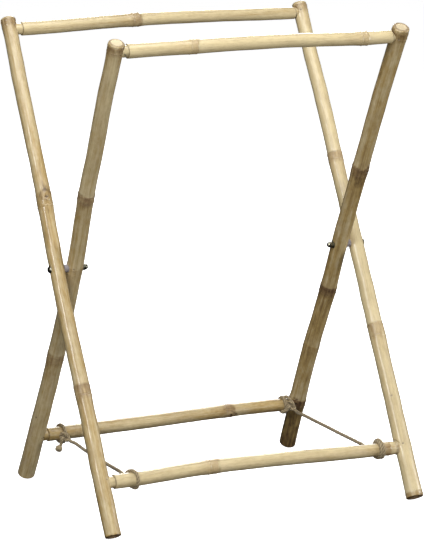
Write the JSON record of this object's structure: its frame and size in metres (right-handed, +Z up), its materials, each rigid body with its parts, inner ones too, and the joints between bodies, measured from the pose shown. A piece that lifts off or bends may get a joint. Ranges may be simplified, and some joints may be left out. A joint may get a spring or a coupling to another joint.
{
  "type": "towel rack",
  "caption": "Free-standing folding towel rack: two crossed ladder frames of bamboo poles on bolted pivots, held open by two taut ropes tied between the bottom rails.",
  "frame": {"origin": "on the floor, at the middle of the footprint of the four feet", "axes": "+Z up; +X along the rails, to the right; +Y to the back, the side of the bottom rail of the inner frame; -Y to the front, the side of the foot rail of the outer frame"},
  "size_m": [0.5832, 0.4564, 0.8025],
  "materials": {
    "bamboo_outer": "smooth natural bamboo, light",
    "bamboo_inner": "smooth natural bamboo, olive brown",
    "bamboo_rail": "smooth natural bamboo",
    "steel": "bright plated",
    "pin_steel": "dull",
    "spacer_plastic": "matt white",
    "rope": "twisted jute, grey brown"
  },
  "bodies": {
    "outer_frame": {"outer_leg_left": "bamboo_outer", "outer_leg_right": "bamboo_outer", "outer_top_rail": "bamboo_rail", "outer_bottom_rail": "bamboo_rail", "outer_rail_pins": "pin_steel", "pivot_bolt_left": "steel", "pivot_bolt_right": "steel", "spacer_left": "spacer_plastic", "spacer_right": "spacer_plastic", "nut_washer_left": "steel", "nut_washer_right": "steel", "cap_nut_left": "steel", "cap_nut_right": "steel", "front_tie_left": "rope", "front_tie_right": "rope", "rope_span_left": "rope", "rope_span_right": "rope"},
    "inner_frame": {"inner_leg_left": "bamboo_inner", "inner_leg_right": "bamboo_inner", "inner_top_rail": "bamboo_rail", "inner_bottom_rail": "bamboo_rail", "inner_rail_pins": "pin_steel", "rear_tie_left": "rope", "rear_tie_right": "rope", "rope_tail_left": "rope", "rope_tail_right": "rope"}
  },
  "joints": [
    {"name": "fold", "type": "hinge", "parent": "outer_frame", "child": "inner_frame", "pos_m": [0, 0, 0.40495], "axis": [-1, 0, 0], "range_deg": [0, 48], "deforming": ["rope_span_left", "rope_span_right"]}
  ]
}
